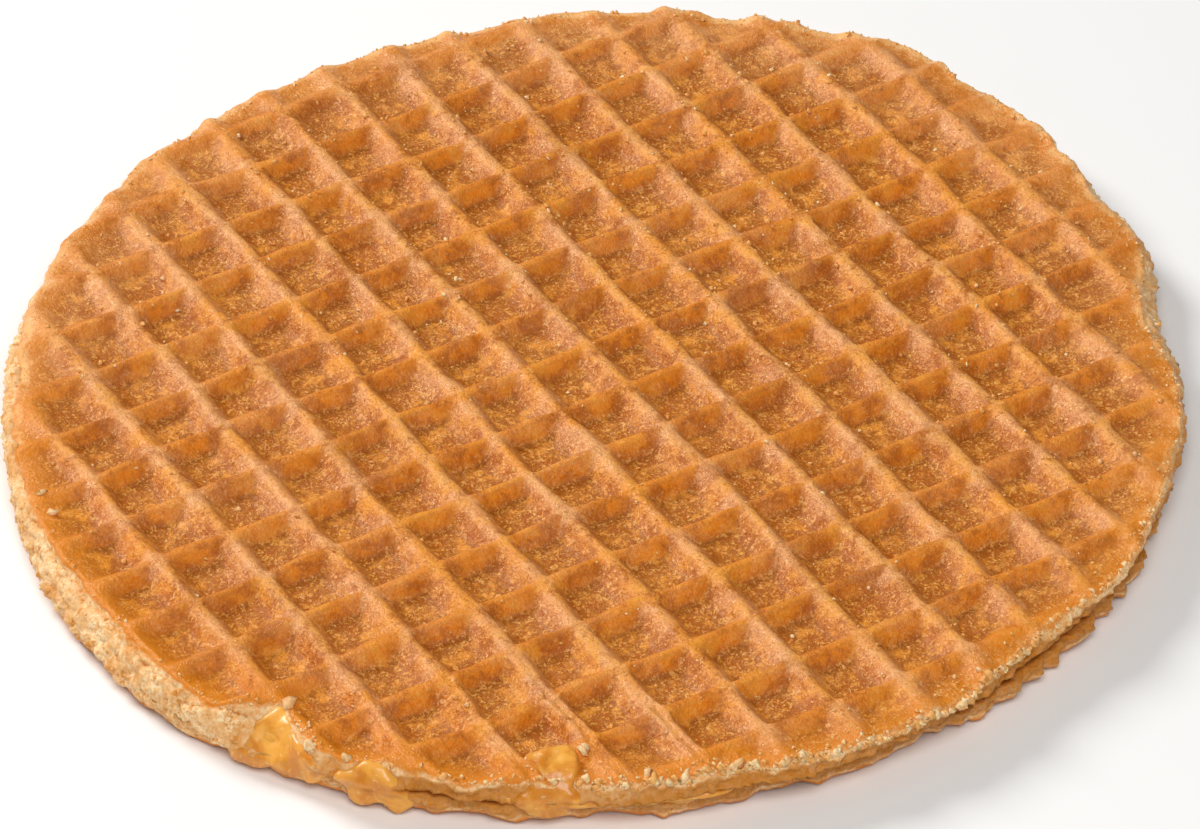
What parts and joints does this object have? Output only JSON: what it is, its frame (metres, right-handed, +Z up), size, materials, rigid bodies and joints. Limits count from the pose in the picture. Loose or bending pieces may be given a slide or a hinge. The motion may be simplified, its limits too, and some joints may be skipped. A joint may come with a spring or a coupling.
{
  "type": "stroopwafel",
  "caption": "Round stroopwafel: thin golden-brown waffle layers, pressed with a square grid, around a layer of caramel syrup.",
  "frame": {"origin": "centre of the bottom of the whole stroopwafel's box, on the surface it lies on", "axes": "+Z up, through the thin way from the underside to the gridded top; X and Y along the top grid's ridges"},
  "size_m": [0.1016, 0.1002, 0.0055],
  "materials": {
    "baked_lower": "baked waffle crust and pale crumb, matt",
    "syrup": "caramel syrup, smooth and glossy, a little see-through",
    "baked_upper": "baked waffle crust, golden brown, slightly waxy"
  },
  "bodies": {
    "root": {"lower_wafer": "baked_lower", "syrup": "syrup", "upper_wafer": "baked_upper"}
  },
  "joints": []
}
